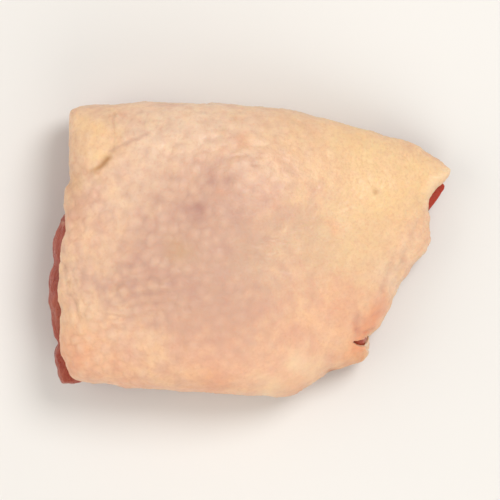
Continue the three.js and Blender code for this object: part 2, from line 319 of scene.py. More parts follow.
def from_tear(points):
    """Each point's distance along the tear and across it, and its move back from the tear's mouth."""
    along = (points[:, :2] - tear_end) @ tear_way
    off = (points[:, :2] - tear_end) @ tear_across
    drawn = MOUTH_DRAW * bell(off, MOUTH_REACH) * smoothstep(along, 1.5, 8)
    return along, off, -drawn[:, None] * tear_way


def tear_line():
    """The tear on the square sheet: the point where it ends, and its way from there to the edge."""
    u, v = (grid.ravel() for grid in np.meshgrid(TEAR_SEARCH, TEAR_SEARCH))
    ring, q = ring_and_side(u, v)
    plan = under_face(q, ring, 0, edge_for(q, ring))[:, :2]
    ends = [np.argmin(np.linalg.norm(plan - end, axis=1)) for end in TEAR]
    tip, mouth = (Vector((u[i], v[i], 0)) for i in ends)
    return tip, (mouth - tip).normalized()


def slit(bm, tip, way):
    """Cuts the sheet open from the tip to its edge, and notes which side of the cut each point is on."""
    cell = 2 / SHEET_CELLS[0]
    across = Vector((-way.y, way.x, 0))
    # Points close to the line move onto it, so that the cut leaves no thin slivers.
    for vert in bm.verts:
        off = (vert.co - tip).dot(across)
        if (vert.co - tip).dot(way) > 0 and abs(off) < 0.3 * cell and not vert.is_boundary:
            vert.co -= off * across
    near = [face for face in bm.faces if (face.calc_center_median() - tip).dot(way) > -cell / 2
            and abs((face.calc_center_median() - tip).dot(across)) < 2 * cell]
    near += {edge for face in near for edge in face.edges} | {v for face in near for v in face.verts}
    cut = bmesh.ops.bisect_plane(bm, geom=list(near), dist=1e-5, plane_co=tip, plane_no=across)
    line = [part for part in cut["geom_cut"] if isinstance(part, bmesh.types.BMEdge)
            and min((v.co - tip).dot(way) for v in part.verts) > -cell / 10]
    bmesh.ops.split_edges(bm, edges=line)
    bmesh.ops.triangulate(bm, faces=[face for face in bm.faces if len(face.verts) > 4])
    # The point where the cut ends is on neither side, so that the sides part right from there.
    side = bm.verts.layers.float.new("tear_side")
    for vert in bm.verts:
        offs = [(face.calc_center_median() - tip).dot(across) for face in vert.link_faces]
        vert[side] = int(min(offs) > 0) - int(max(offs) < 0)


def raise_slab(bm, cuts):
    """Thickens a flat sheet into a slab from 0 to 1, with its rim cut into rows."""
    raised = bmesh.ops.extrude_face_region(bm, geom=bm.faces[:], use_keep_orig=True)
    upper = [part for part in raised["geom"] if isinstance(part, bmesh.types.BMVert)]
    bmesh.ops.translate(bm, verts=upper, vec=(0, 0, 1))
    rim = [edge for edge in bm.edges if edge.verts[0].co.z != edge.verts[1].co.z]
    bmesh.ops.subdivide_edges(bm, edges=rim, cuts=cuts, use_grid_fill=True)


def skin_slab():
    """A closed slab, slit at the tear. Its upper side is divided finely."""
    bm = bmesh.new()
    bmesh.ops.create_grid(bm, x_segments=SHEET_CELLS[0], y_segments=SHEET_CELLS[1], size=1)
    slit(bm, *tear_line())
    raise_slab(bm, RIM_CUTS)
    fine = [edge for edge in bm.edges if min(vert.co.z for vert in edge.verts) > 0.99]
    bmesh.ops.subdivide_edges(bm, edges=fine, cuts=FINE_CUTS, use_grid_fill=True)
    bmesh.ops.recalc_face_normals(bm, faces=bm.faces[:])
    return bm


# Soft patches of each colour from above: place, reach and strength.
SKIN_PATCHES = {
    # Paler skin on the right margin; elsewhere painted light: a soft sheen in the upper left, and lighter
    # skin along the far edge where its top turns away from the light.
    "fair_and_sheen": ((-27, 21, 10, 0.8), (-32, 10, 8, 0.45), (-14, 33, 9, 0.9), (-27, 33, 8, 0.6),
             (2, 32, 8, 0.5), (37, -8, 5, 0.6), (43, 2, 5, 0.45), (46, 12, 4, 0.3), (20, 6, 8, 0.2)),
    "mauve": ((-20, 8, 19, 0.6), (-5, 6, 15, 0.7), (-24, -8, 15, 0.6), (-2, -14, 16, 0.55),
              (-14.5, 10.5, 3.2, 0.6), (-8, 18, 6, 0.45), (-45, -4, 4, 0.35), (-14, -20, 9, 0.4),
              (0, 25, 7, 0.3), (12, 10, 9, 0.15), (-38, -10, 6, 0.35), (-6, -24, 7, 0.3)),
    "sallow": ((17, 3, 10, 0.6), (28, -3, 9, 0.5), (2, -2, 6, 0.3), (-17, 0, 4, 0.4), (30, 9, 7, 0.3)),
    # On the lobe below the tear, near (29, -28), the yellow, pink and flush patches are partly painted
    # orange light thrown onto it; its own skin is paler.
    "yellow": ((36, 14, 11, 0.8), (28, 2, 12, 0.4), (46, 20, 7, 0.7), (-42, 28, 7, 0.7),
               (-47, -22, 7, 0.45), (10, 32, 12, 0.35), (29, -28, 5, 0.9), (29, 28, 11, 0.8)),
    "pink": ((26, -15, 9, 0.5), (14, -24, 12, 0.4), (-10, -35, 14, 0.6), (-38, -33, 9, 0.6),
             (-2, 29, 2.2, 0.5), (-8, 15, 2, 0.4), (21.5, 6, 2, 0.5), (10, -37, 7, 0.5),
             (-47, 8, 4, 0.5), (43, 5, 5, 0.3), (-47, -24, 6, 0.6), (29, -28, 5, 0.4)),
    # Flush is the skin's own redness round the tear; on the left edge near (-49.5, -12) it is painted
    # light where the edge catches it, and at (13, -37) painted shade in a kink of the edge.
    "flush": ((31.6, -21.4, 2.8, 0.85), (33, -17.6, 2.2, 0.4), (29.6, -24.6, 1.8, 0.5),
              (36, -14.5, 3.5, 0.25), (29, -27.4, 2.6, 0.4), (25.6, -30.6, 3, 0.4), (13, -37, 2, 0.3),
              (-47.5, -29, 4, 0.4), (-49.5, -12, 3, 0.3), (-30, -37.5, 5, 0.2), (-10, -38, 4, 0.25)),
    # Painted highlight, pale: on the near side near (13.5, -31) and (5, -36.8), where the skin slopes
    # away from the light, and on the left edge near (-49.5, -11).
    "pale": ((13.5, -31, 4.5, 0.5), (5, -36.8, 4, 0.4), (-49.5, -11, 3, 0.2)),
    "plum_spots_and_crease_shade": ((-14.3, 10.6, 2.2, 0.7), (-10.4, 18.8, 1.6, 0.4), (-4.6, 18.8, 1.6, 0.4),
             (-46, 9, 3, 0.3)),
    # Brown: a few small spots, and painted shade at the left end of the lobe's crease.
    "brown_spots_and_fold_shade": ((33.6, 16.4, 1.3, 0.6), (-2, 26.8, 1.6, 0.25), (-18.5, 0.5, 3.2, 0.3),
              (-47.5, 19, 3.4, 0.4), (-47.5, 13, 3, 0.2)),
}


def skin_masks(points, wander, furrows):
    """Where each colour lies, from 0 to 1, in broad soft patches and thin lines; some are painted light
    and shade.
    """
    broad = [soft_noise(points, 7, seed) + 0.5 * soft_noise(points, 3, seed) for seed in (1, 2)]
    x, y = (points[:, :2] + 2.4 * np.column_stack(broad)).T
    masks = {name: sum(strength * bell(np.hypot(x - at_x, y - at_y), reach)
                       for at_x, at_y, reach, strength in places)
             for name, places in SKIN_PATCHES.items()}
    px, py, pz = points.T
    stray = (points[:, :2] + 1.2 * wander).T
    # Painted shade: the creases are darkened in colour as well as in relief.
    crease_shade = sum(depth * bell(distance_to(chain, *stray), 1.3 * width) for chain, width, depth in CREASES)
    masks["fair_and_sheen"] = masks["fair_and_sheen"] + 0.5 * soft_noise(points, 3.4, 36)
    masks["mauve"] = masks["mauve"] + 0.45 * soft_noise(points, 2.4, 35)
    # Plum: the skin's own spots and the vein that shows through, and painted shade along the creases and
    # in the fine furrows between the bumps.
    masks["plum_spots_and_crease_shade"] = masks["plum_spots_and_crease_shade"] + 0.4 * crease_shade + 0.35 * bell(distance_to(VEIN, px, py), 0.5)
    masks["plum_spots_and_crease_shade"] = masks["plum_spots_and_crease_shade"] + 0.1 * furrows
    # Painted shade, brown, in the fold beside the far corner's lobe.
    masks["brown_spots_and_fold_shade"] = masks["brown_spots_and_fold_shade"] + 0.95 * bell(distance_to(LOBE_FOLD, x, y), 1.3)
    # Painted highlight, pale, along the rolled-up tip.
    masks["pale"] = masks["pale"] + 0.45 * bell(distance_to(TIP_ROLL, px, py), 1.2)
    at_x, at_y, at_z = DARK_NICK
    # A dark red spot at the deepest nick, fading above and below its height.
    masks["raw"] = 0.75 * bell(np.hypot(px - at_x, py - at_y), 1.2) * bell(pz - at_z, 2.2)
    return {name: np.clip(share, 0, 1) for name, share in masks.items()}


def skin_relief(points, sheet, wander):
    """How far the skin stands out of its plain form, in millimetres."""
    x, y, z = points.T
    relief = 0.34 * soft_noise(points, 11, 4) + 0.16 * soft_noise(points, 4.5, 5)
    crinkled = sheet + 1.1 * np.column_stack((wander, wander[:, 0]))
    # Fine wrinkles run all over, deeper down the sides.
    creased = 1 + SIDES_CREASED * smoothstep(-z, *SIDES_BELOW)
    relief -= 0.09 * creased * valleys(crinkled, 1.9, 6, 0.12)
    relief -= 0.07 * creased * valleys(crinkled, 1.1, 8, 0.2)
    relief -= 0.06 * (creased - 1) * valleys(crinkled, 3.4, 43, 0.1)
    # Longer ones run along the thigh where the skin is gathered.
    cos, sin = np.cos(WRINKLE_TURN), np.sin(WRINKLE_TURN)
    drawn = np.column_stack((crinkled[:, :2] @ np.array(((cos, -sin), (sin, cos))), crinkled[:, 2]))
    gathered = bell(np.hypot(x - GATHERED_AT[0], y - GATHERED_AT[1]), GATHERED_REACH)
    gathered = gathered + 0.6 * smoothstep(soft_noise(sheet, 14, 9), 0, 0.35)
    relief -= 0.15 * gathered * valleys(drawn, (8, 2.1, 8), 7, 0.1)
    # Single creases wander off their lines, and fade in and out.
    stray = x + 1.2 * wander[:, 0], y + 1.2 * wander[:, 1]
    fading = 0.45 + 0.55 * smoothstep(soft_noise(sheet, 5, 33), -0.3, 0.3)
    relief -= 0.12 * bell(distance_to(LOBE_CREASE, *stray), 0.8)
    relief -= 0.25 * bell(distance_to(LOBE_FOLD, *stray), 0.9)
    relief -= 0.05 * bell(distance_to(VEIN, *stray), 0.5)
    for chain, width, depth in CREASES:
        away = distance_to(chain, *stray)
        relief -= depth * fading * bell(away, width)
        relief += CREASE_LIP * depth * fading * bell(away - 2.4 * width, width)
    return relief + 0.7 * bell(distance_to(TIP_ROLL, x, y), 1.2)


def hem_ring(q, ring, w, edge):
    """The ring of each point once the edge is ragged, rounded, and has fat showing past it."""
    ragged = sum(np.sin(count * q * np.pi / 2 + start) / count**0.8 for count, start in RAGS)
    bulge = RIM_BULGE * np.sin(np.pi * w) * (ring > 0.999)
    around_edge = np.column_stack((edge, np.zeros(len(q))))
    patchy = soft_noise(around_edge, 6, 31) + 0.5 * soft_noise(around_edge, 2.2, 32)
    ledge = FAT_LEDGE * smoothstep(patchy, -0.3, 0.6)
    hem = ring + RAG_REACH * ragged * smoothstep(ring, 0.86, 1) + bulge
    return hem + ledge * smoothstep(ring, 0.96, 1) * smoothstep(-w, -0.6, -0.3)


def gaping(u, v, side, points):
    """Each point's move as the tear opens: its ragged sides part and curl up, most at the edge."""
    along, off, drawn_back = from_tear(points)
    end, way = tear_line()
    on_sheet = np.column_stack((u - end.x, v - end.y))
    share = np.clip(on_sheet @ way.xy / (1 - abs(end.x)), 0, 1)
    away = on_sheet @ (-way.y, way.x) * SHEET_SCALE
    torn_sides = np.column_stack((along, 9 * side, np.zeros(len(u))))
    ragged = 1 + 0.45 * soft_noise(torn_sides, 2.6, 41) + 0.3 * soft_noise(torn_sides, 1.1, 42)
    parted = side * TEAR_HALF_WIDTH * ragged * share**0.5 * bell(away, TEAR_PULL)
    curled = TEAR_LIP * bell(np.abs(off) - 0.8, 0.9) * smoothstep(along, 0, 4)
    return np.column_stack((parted[:, None] * tear_across + drawn_back, curled))


def shape_skin(bm):
    """Moves the slab's points to the skin's two faces and rim, and returns its masks."""
    # u and v are a point's place on the square sheet. w is 0 on its inner face and 1 on its outer.
    tear_side = bm.verts.layers.float["tear_side"]
    side = np.sign([vert[tear_side] for vert in bm.verts])
    u, v, w = np.array([vert.co for vert in bm.verts]).T
    ring, q = ring_and_side(u, v)
    edge = edge_for(q, ring)
    hem = hem_ring(q, ring, w, edge)
    depth = SKIN_THICKNESS * (1 - w)
    plain = under_face(q, hem, depth, edge)
    flat = laid_flat(q, hem, edge)
    sheet = np.column_stack((flat, np.zeros(len(flat))))
    wander = np.column_stack([soft_noise(sheet, 5, seed) for seed in (21, 22)])
    # The follicles are strongest near the far corner of the cut end.
    strength = 0.3 + 0.7 * smoothstep(-flat[:, 0] + 0.4 * flat[:, 1], -15, 30)
    follicles, furrows = (part * strength for part in feather_follicles(flat))
    relief = skin_relief(plain, sheet, wander) + FOLLICLE_HEIGHT * follicles - FURROW_DEPTH * furrows
    shaped = under_face(q, hem, depth - relief * smoothstep(w, 0.2, 1), edge)
    shaped += gaping(u, v, side, plain)
    shaped[:, 2] = np.maximum(shaped[:, 2], FLOOR_GAP)
    for vert, place in zip(bm.verts, shaped * MM):
        vert.co = place
    masks = skin_masks(plain, wander, furrows)
    # The bumps are coloured lighter: partly their own paler skin, partly painted highlight on their tops.
    masks["bumps"] = follicles
    masks["lining"] = smoothstep(-w, -0.85, -0.3)
    return masks


def linear(red, green, blue):
    """A colour given as 0 to 255 for a screen, as the linear values that Blender takes."""
    c = np.array((red, green, blue)) / 255
    return (*np.where(c <= 0.04045, c / 12.92, ((c + 0.055) / 1.055) ** 2.4), 1)


def add(tree, kind, inputs=(), **settings):
    """Adds a node with its settings. inputs gives each socket a value, or another node's socket."""
    made = tree.nodes.new(kind)
    for name, value in settings.items():
        setattr(made, name, value)
    for socket, value in dict(inputs).items():
        if isinstance(value, bpy.types.NodeSocket):
            tree.links.new(value, made.inputs[socket])
        else:
            made.inputs[socket].default_value = value
    return made


def blend(tree, share, below, above):
    """Lays one colour over another by a share from 0 to 1."""
    inputs = {0: share, 6: below, 7: above}
    return add(tree, "ShaderNodeMix", inputs, data_type="RGBA").outputs[2]


def times(tree, a, b):
    return add(tree, "ShaderNodeMath", {0: a, 1: b}, operation="MULTIPLY").outputs[0]


def spread(tree, value, low, high, to_low=0.0, to_high=1.0):
    """Turns a value between low and high into one between to_low and to_high."""
    inputs = {0: value, 1: low, 2: high, 3: to_low, 4: to_high}
    return add(tree, "ShaderNodeMapRange", inputs).outputs[0]


def tint(tree, colour, mask_name, strength, shade):
    """Lays a shade over the colour where the piece's mask says."""
    share = add(tree, "ShaderNodeAttribute", attribute_name=mask_name).outputs["Fac"]
    return blend(tree, times(tree, share, strength), colour, linear(*shade))


def make_mottling():
    """A group for moist tissue: Tone drifts from 0 to 1 over patches of a given size, Grain is finer."""
    group = bpy.data.node_groups.new("mottling", "ShaderNodeTree")
    size = group.interface.new_socket("Patch Size", in_out="INPUT", socket_type="NodeSocketFloat")
    size.default_value = 5 * MM
    for name in ("Tone", "Grain"):
        group.interface.new_socket(name, in_out="OUTPUT", socket_type="NodeSocketFloat")
    given = add(group, "NodeGroupInput").outputs["Patch Size"]
    scale = add(group, "ShaderNodeMath", {0: 1.0, 1: given}, operation="DIVIDE").outputs[0]
    place = add(group, "ShaderNodeTexCoord").outputs["Object"]
    broad = add(group, "ShaderNodeTexNoise", {"Vector": place, "Scale": scale, "Detail": 4,
                                              "Roughness": 0.6})
    fine = add(group, "ShaderNodeTexNoise", {"Vector": place, "Scale": times(group, scale, 7.0),
                                             "Detail": 3, "Roughness": 0.65})
    end = add(group, "NodeGroupOutput")
    group.links.new(spread(group, broad.outputs["Fac"], 0.36, 0.64), end.inputs["Tone"])
    group.links.new(fine.outputs["Fac"], end.inputs["Grain"])
    return group


mottling = make_mottling()


def mottle(tree, patch_size):
    made = add(tree, "ShaderNodeGroup", node_tree=mottling)
    made.inputs["Patch Size"].default_value = patch_size
    return made.outputs["Tone"], made.outputs["Grain"]


def new_material(name):
    material = bpy.data.materials.new(name)
    material.use_nodes = True
    tree = material.node_tree
    return material, tree, tree.nodes["Principled BSDF"]


def dress(tree, shader, colour, roughness, height, bump_depth, bump_strength):
    """Feeds a colour, a roughness and a bump into the shader."""
    inputs = {"Height": height, "Distance": bump_depth, "Strength": bump_strength}
    bump = add(tree, "ShaderNodeBump", inputs)
    tree.links.new(colour, shader.inputs["Base Color"])
    tree.links.new(roughness, shader.inputs["Roughness"])
    tree.links.new(bump.outputs[0], shader.inputs["Normal"])


def let_light_in(shader, weight, radius, reach):
    """Lets light some way into the surface, red the furthest."""
    shader.inputs["Subsurface Weight"].default_value = weight
    shader.inputs["Subsurface Radius"].default_value = radius
    shader.inputs["Subsurface Scale"].default_value = reach


def skin_material():
    material, tree, shader = new_material("raw_skin")
    tone, grain = mottle(tree, 6 * MM)
    colour = blend(tree, tone, linear(225, 178, 151), linear(243, 203, 162))
    # Paler skin, with painted sheen in the upper left and painted light along the far edge.
    colour = tint(tree, colour, "fair_and_sheen", 0.8, (241, 211, 184))
    colour = tint(tree, colour, "mauve", 0.8, (197, 156, 139))
    colour = tint(tree, colour, "sallow", 0.7, (219, 191, 153))
    colour = tint(tree, colour, "yellow", 0.7, (246, 208, 151))
    colour = tint(tree, colour, "pink", 0.75, (238, 172, 134))
    colour = tint(tree, colour, "flush", 1, (229, 144, 104))
    fleck = spread(tree, grain, 0.48, 0.68, to_high=0.3)
    colour = blend(tree, fleck, colour, linear(214, 157, 130))
    # Lighter bumps: paler skin, partly painted highlight.
    colour = tint(tree, colour, "bumps", 0.42, (242, 208, 180))
    # Plum spots and vein, and painted shade in the creases and furrows.
    colour = tint(tree, colour, "plum_spots_and_crease_shade", 1, (176, 128, 118))
    # Brown spots, and painted shade in the lobe's fold.
    colour = tint(tree, colour, "brown_spots_and_fold_shade", 1, (186, 138, 92))
    # Painted highlight on the rolled tip and on edges turned from the light.
    colour = tint(tree, colour, "pale", 1, (252, 224, 184))
    colour = tint(tree, colour, "lining", 1, (240, 208, 176))
    # Dark red at the deepest nick.
    colour = tint(tree, colour, "raw", 1, (150, 62, 40))
    place = add(tree, "ShaderNodeTexCoord").outputs["Object"]
    pores = add(tree, "ShaderNodeTexVoronoi", {"Vector": place, "Scale": 1 / (0.9 * MM)})
    weave = add(tree, "ShaderNodeTexNoise", {"Vector": place, "Scale": 1 / (0.5 * MM), "Detail": 3})
    both = {0: pores.outputs["Distance"], 1: weave.outputs["Fac"]}
    height = add(tree, "ShaderNodeMath", both, operation="ADD").outputs[0]
    roughness = spread(tree, grain, 0.3, 0.7, 0.42, 0.56)
    dress(tree, shader, colour, roughness, height, bump_depth=0.1 * MM, bump_strength=0.6)
    let_light_in(shader, weight=0.3, radius=(1, 0.5, 0.3), reach=2.5 * MM)
    shader.inputs["Specular IOR Level"].default_value = 0.4
    shader.inputs["Coat Weight"].default_value = 0.16
    shader.inputs["Coat Roughness"].default_value = 0.26
    return material


def finish_piece(name, bm, masks, material, node):
    """Makes the piece's object, smooth and in place, and gives it its role in the model."""
    mesh = bpy.data.meshes.new(name)
    bm.to_mesh(mesh)
    bm.free()
    for mask_name, values in masks.items():
        attribute = mesh.attributes.new(mask_name, "FLOAT", "POINT")
        attribute.data.foreach_set("value", np.asarray(values, np.float32))
    mesh.shade_smooth()
    mesh.materials.append(material)
    piece = bpy.data.objects.new(name, mesh)
    bpy.context.scene.collection.objects.link(piece)
    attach(piece, "root")
    if node:
        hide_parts(node)
    return piece


skin_bm = skin_slab()
skin_mask_values = shape_skin(skin_bm)
finish_piece("thigh_skin", skin_bm, skin_mask_values, skin_material(), "skin")

# The meat
# One lump of dark meat, several muscles held together by thin white tissue. It fills the skin, swells
# out past the skin's edge at the cut end, and lies on its underside, which its own weight presses flat.

MEAT_CELLS = (150, 136)  # of the square block that is shaped into the meat
SIDE_CUTS = 29  # rows of points down its side
MEAT_UNDER_SKIN = 1.9  # how far its top lies under the skin's outer face
MEAT_BARE = (0.1, 0, 0, 0.1, 0, 0, 0.9, 0.88)  # 1 where the meat swells out past the skin's edge
BARE_FROM = (2.84, 3)  # round the edge, where that begins just before the near corner of the cut end
PAST_THE_HEM = 1.02  # the ring to which it follows the skin, where the skin ends at 1
EMPTY_TIP = 0.06  # how far short of the skin's tip it stops, as a share of the outline
EMPTY_TIP_WIDTH = 0.12
# Beside the tip it shows past the skin as a smooth sliver.
SLIVER_AT = 1.125
SLIVER_WIDTH = 0.13
SLIVER_DRAW = 0.42
SLIVER_DROPS = (0.8, 3)  # how much lower its shoulder and its foot lie
BASE_REACH = 0.86  # the furthest that the underside reaches, as a share of the outline
INSIDE_HEM = 0.07  # how far inside the skin's edge it stays
RIM_LIFT = 3.6  # how far the rounded rim of the underside lifts
RIM_RINGS = (0.72, 1)
SWELL_REACH = 1.14  # how far the cut end swells out, as a share of the outline
SWELL_LEVELS = (0.86, 0.3)  # the shoulder and the foot of the cut end, as shares of its height
FLAT_LEVEL = 1.1  # relief of the underside below this is pressed flat
# The furrows between the muscles of the underside, seen from above.
MIDDLE_FURROW = ((-46, 8), (-20, 3), (8, 5), (36, 14))
NEAR_FURROW = ((-30, -32), (-19, -16), (-12, 3))
THIN_FURROW = ((30, -20), (17, -10), (10, 5))
FAR_FURROW = ((-10, 34), (0, 22), (22, 20))
FURROW_SIZES = (  # width and depth
    (MIDDLE_FURROW, 4.6, 3.6), (NEAR_FURROW, 3.8, 2.6), (THIN_FURROW, 3.8, 2.4), (FAR_FURROW, 3.4, 2),
)
# How the fibres run, in degrees from the long way: by the near furrow at the cut end, then past it,
# past the thin furrow, on the far side, and past the far furrow.
FIBRE_TURNS = (72, 100, 38, 6, -20)
BUNDLE_WIDTH = 7
MUSCLES_APART = 40  # far enough for each muscle to have noise of its own
# Grooves between the muscles at the cut end: their places round the edge, and their depths.
CUT_GROOVES = ((2.96, 0.9), (3.17, 1.4), (3.43, 0.8), (3.66, 1.5), (3.88, 0.9))
CUT_GROOVE_WIDTH = 0.03


def eased(chain):
    """The chain with its corners cut off twice over, so that it bends softly."""
    for _ in range(2):
        points = np.array(chain, float)
        steps = np.diff(points, axis=0)
        cut = np.stack((points[:-1] + 0.25 * steps, points[:-1] + 0.75 * steps), 1).reshape(-1, 2)
        chain = np.vstack((points[:1], cut, points[-1:]))
    return chain


FURROWS = [(eased(chain), width, depth) for chain, width, depth in FURROW_SIZES]


def meat_edge(q, ring=1):
    """The edge that the meat follows, which stops short of the skin's tip."""
    edge = edge_for(q, np.full_like(q, ring))
    short = EMPTY_TIP * bell(q - 1, EMPTY_TIP_WIDTH)
    return edge - short[:, None] * (edge - MIDDLE)


def bare_meat(q):
    """How far the meat swells past the skin's edge, from 0 to 1."""
    near_corner = np.where(np.mod(q, 4) < 2, 1, smoothstep(np.mod(q, 4), *BARE_FROM))
    return around(q, MEAT_BARE) * near_corner


def covered_meat(q, ring):
    return under_face(q, ring * PAST_THE_HEM, MEAT_UNDER_SKIN, meat_edge(q, ring))


def base_reach(q):
    r, _, full = profile(q, np.ones_like(q), meat_edge(q))
    return np.minimum(BASE_REACH, r / full - INSIDE_HEM)


def underside(q, ring):
    """The underside, flat but for its rounded rim and its furrows."""
    plan = MIDDLE + (base_reach(q) * ring)[:, None] * (meat_edge(q) - MIDDLE)
    relief = RIM_LIFT * smoothstep(ring, *RIM_RINGS)
    for chain, width, depth in FURROWS:
        relief = relief + depth * bell(distance_to(chain, plan[:, 0], plan[:, 1]), width)
    return np.column_stack((plan, np.maximum(0, relief - FLAT_LEVEL)))


def meat_side(q, down):
    """The side below the skin's edge: it swells out, then turns in to the underside."""
    start, base = covered_meat(q, np.ones_like(q)), underside(q, np.ones_like(q))
    edge, bare = meat_edge(q), bare_meat(q) ** 2
    sliver = bell(q - SLIVER_AT, SLIVER_WIDTH)
    reach = base_reach(q) + INSIDE_HEM / 2
    reach = reach + (SWELL_REACH - reach) * bare
    middle_height = (start[:, 2] + base[:, 2]) / 2
    bulge = []
    for level, out, drop in zip(SWELL_LEVELS, (reach, reach + SLIVER_DRAW * sliver), SLIVER_DROPS):
        height = middle_height + (start[:, 2] * level - middle_height) * bare - drop * sliver
        bulge.append(np.column_stack((MIDDLE + out[:, None] * (edge - MIDDLE), height)))
    t = down[:, None]
    return (start * (1 - t) ** 3 + 3 * bulge[0] * t * (1 - t) ** 2
            + 3 * bulge[1] * t**2 * (1 - t) + base * t**3)


def meat_block():
    bm = bmesh.new()
    bmesh.ops.create_grid(bm, x_segments=MEAT_CELLS[0], y_segments=MEAT_CELLS[1], size=1)
    raise_slab(bm, SIDE_CUTS)
    bmesh.ops.recalc_face_normals(bm, faces=bm.faces[:])
    return bm


def fibre_places(points):
    """Each point turned so that the fibres of its muscle run along the first axis."""
    bent = points + 2.5 * np.column_stack([soft_noise(points, 18, seed) for seed in (25, 26, 27)])
    x, y, z = bent.T
    far_side = y > np.interp(x, *np.transpose(MIDDLE_FURROW))
    past_far = y > np.interp(x, *np.transpose(FAR_FURROW))
    past_near = x > np.interp(y, *np.transpose(NEAR_FURROW)[::-1])
    past_thin = x > np.interp(y, *np.transpose(THIN_FURROW)[::-1])
    muscle = np.select((far_side & past_far, far_side, past_thin, past_near), (4, 3, 2, 1), 0)
    turn = np.radians(np.array(FIBRE_TURNS))[muscle]
    along, across = x * np.cos(turn) + y * np.sin(turn), y * np.cos(turn) - x * np.sin(turn)
    return np.column_stack((along, across, z + MUSCLES_APART * muscle))


def muscle_relief(points, fibres):
    """Relief of the muscles, whose fibres lie in rounded bundles, and the white seams between some."""
    bundle = np.abs(np.sin(np.pi * (fibres[:, 1] / BUNDLE_WIDTH + 1.1 * soft_noise(points, 15, 12))))
    seams = bell(bundle, 0.13) * smoothstep(soft_noise(points, 13, 18), -0.1, 0.25)
    relief = 0.5 * soft_noise(points, 8, 13) + 0.2 * soft_noise(points, 3, 14)
    relief += 0.32 * soft_noise(fibres, (16, 1.7, 1.7), 11) + 0.14 * soft_noise(fibres, (9, 0.9, 0.9), 19)
    return relief + 0.5 * np.sqrt(bundle) - 0.4, seams


def cut_relief(points, q, cut, side):
    """The rough face of the cut end, with grooves that lean and wander as they go down."""
    relief = cut * (0.12 * soft_noise(points, 1.3, 15) + 0.08 * soft_noise(points, 0.8, 16))
    lean = q + 0.03 * soft_noise(points, 9, 17) + 0.002 * (points[:, 2] - 10)
    for place, depth in CUT_GROOVES:
        relief -= depth * cut * side * bell(lean - place, CUT_GROOVE_WIDTH)
    return relief


def furrow_fat(points, low):
    """Where lumpy fat fills parts of the furrows, from 0 to 1, and its relief."""
    lumps = soft_noise(points, 4.2, 28) + 0.35 * soft_noise(points, 2.1, 29)
    crumbs = soft_noise(points, 1.8, 44) + 0.5 * soft_noise(points, 0.9, 45)
    x = points[:, 0] + 2.6 * soft_noise(points, 6, 31) + lumps
    y = points[:, 1] + 2.6 * soft_noise(points, 6, 32) - lumps
    furrow = np.max([bell(distance_to(chain, x, y), 0.5 * width) for chain, width, _ in FURROWS], axis=0)
    filled = furrow * (0.8 + 1.2 * soft_noise(points, 11, 30))
    filled = filled + 0.28 * crumbs * smoothstep(furrow, 0.05, 0.3)
    fat = smoothstep(filled, 0.3, 0.58) * low
    return fat, fat * (0.9 + 0.9 * lumps + 0.35 * crumbs)


def shape_meat(bm):
    """Moves the block's points to the meat's faces, and returns its masks and the fibres' places."""
    # w is 0 on the underside and 1 on the top.
    u, v, w = np.array([vert.co for vert in bm.verts]).T
    ring, q = ring_and_side(u, v)
    top, base = w > 0.999, w < 0.001
    side = ~(top | base)
    plain = np.empty((len(u), 3))
    plain[top] = covered_meat(q[top], ring[top])
    plain[base] = underside(q[base], ring[base])
    plain[side] = meat_side(q[side], 1 - w[side])
    for vert, place in zip(bm.verts, plain):
        vert.co = place
    bm.normal_update()
    normals = np.array([vert.normal for vert in bm.verts])
    x, y, _ = plain.T
    fibres = fibre_places(plain)
    cut = bare_meat(q) * smoothstep(ring, 0.9, 1)
    relief, seams = muscle_relief(plain, fibres)
    fat, fat_relief = furrow_fat(plain, w < 0.25)
    relief += cut_relief(plain, q, cut, side) + fat_relief
    relief += 0.8 * top * bell(distance_to(TEAR, x, y), 1)  # it swells a little into the tear
    # Under the skin and on the sliver it is smooth.
    sliver = bell(q - SLIVER_AT, SLIVER_WIDTH * 1.8) * side
    shown = np.where(top, smoothstep(ring, 0.9, 1), 1 - 0.75 * sliver)
    shaped = plain + normals * (relief * shown)[:, None]
    shaped[:, :2] += from_tear(plain)[2]
    shaped[:, 2] = np.maximum(shaped[:, 2], 0)
    for vert, place in zip(bm.verts, shaped * MM):
        vert.co = place
    masks = {
        "seams": seams * shown,
        "fat": fat,
        "film": smoothstep(soft_noise(plain, 13, 24), 0.05, 0.4),
        "cut": cut,
        "dark": sliver,
        # Painted light: in the tear the meat is a lighter, more orange red than its own dark red-brown.
        "lit_tear_meat": bell(distance_to(TEAR, x, y), 3),
    }
    return masks, fibres * MM


